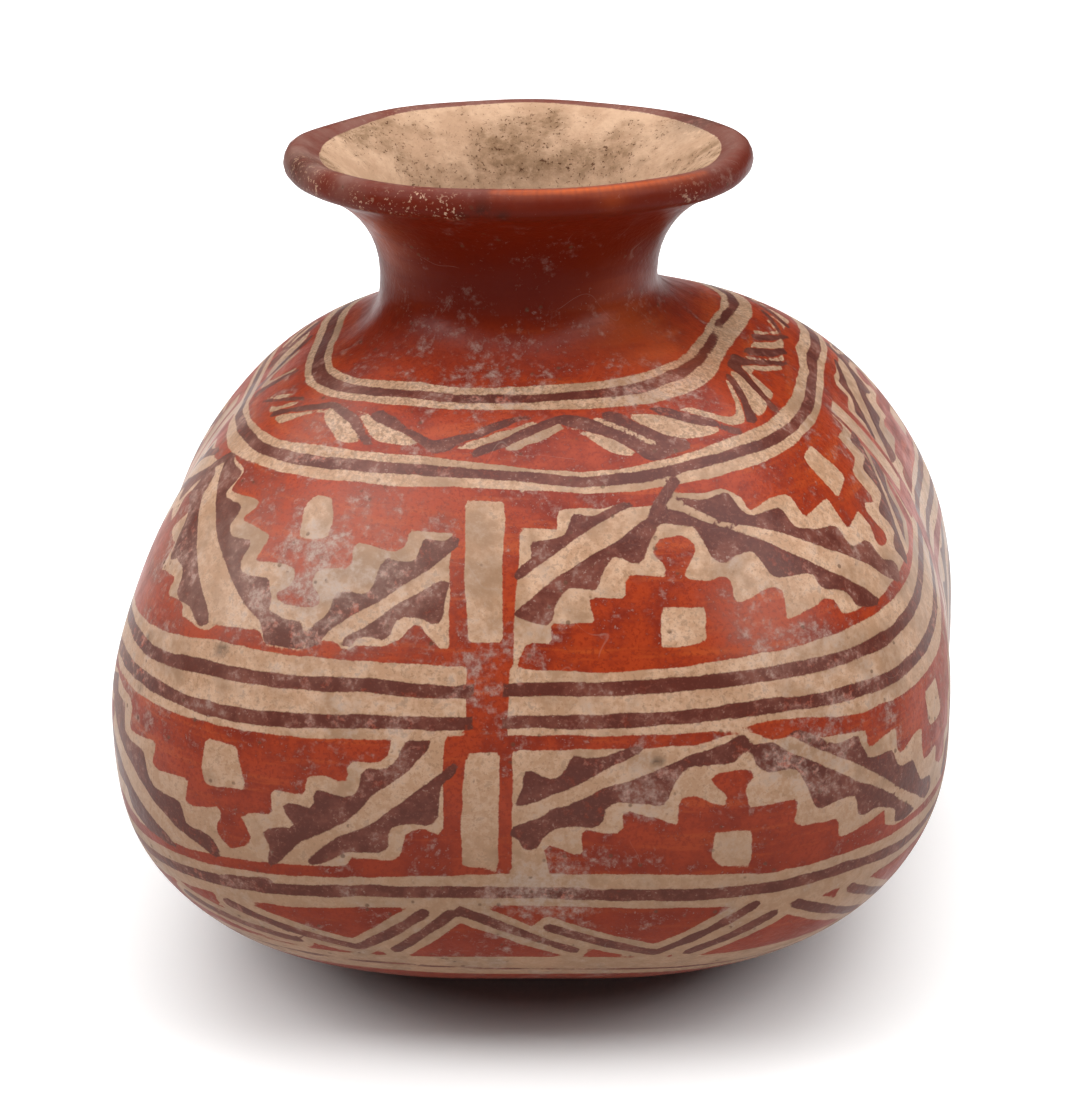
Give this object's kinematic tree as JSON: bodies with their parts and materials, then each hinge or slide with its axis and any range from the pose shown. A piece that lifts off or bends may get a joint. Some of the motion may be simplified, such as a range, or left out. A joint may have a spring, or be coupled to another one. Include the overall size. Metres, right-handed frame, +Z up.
{
  "type": "pottery olla",
  "caption": "Burnished polychrome jar with a rounded-square lobed body, short neck and wide flared rim, open and hollow, standing on its underside.",
  "frame": {"origin": "middle of the flat spot under the vessel, where it stands", "axes": "+Z up through the mouth; -Y towards the shallow valley on the front; the lobes point at 45 degrees between X and Y"},
  "size_m": [0.2656, 0.2655, 0.2504],
  "materials": {
    "slipped_clay": "burnished red slip painted in cream and dark brown, worn, over matte buff clay inside"
  },
  "bodies": {
    "root": {"olla": "slipped_clay"}
  },
  "joints": []
}
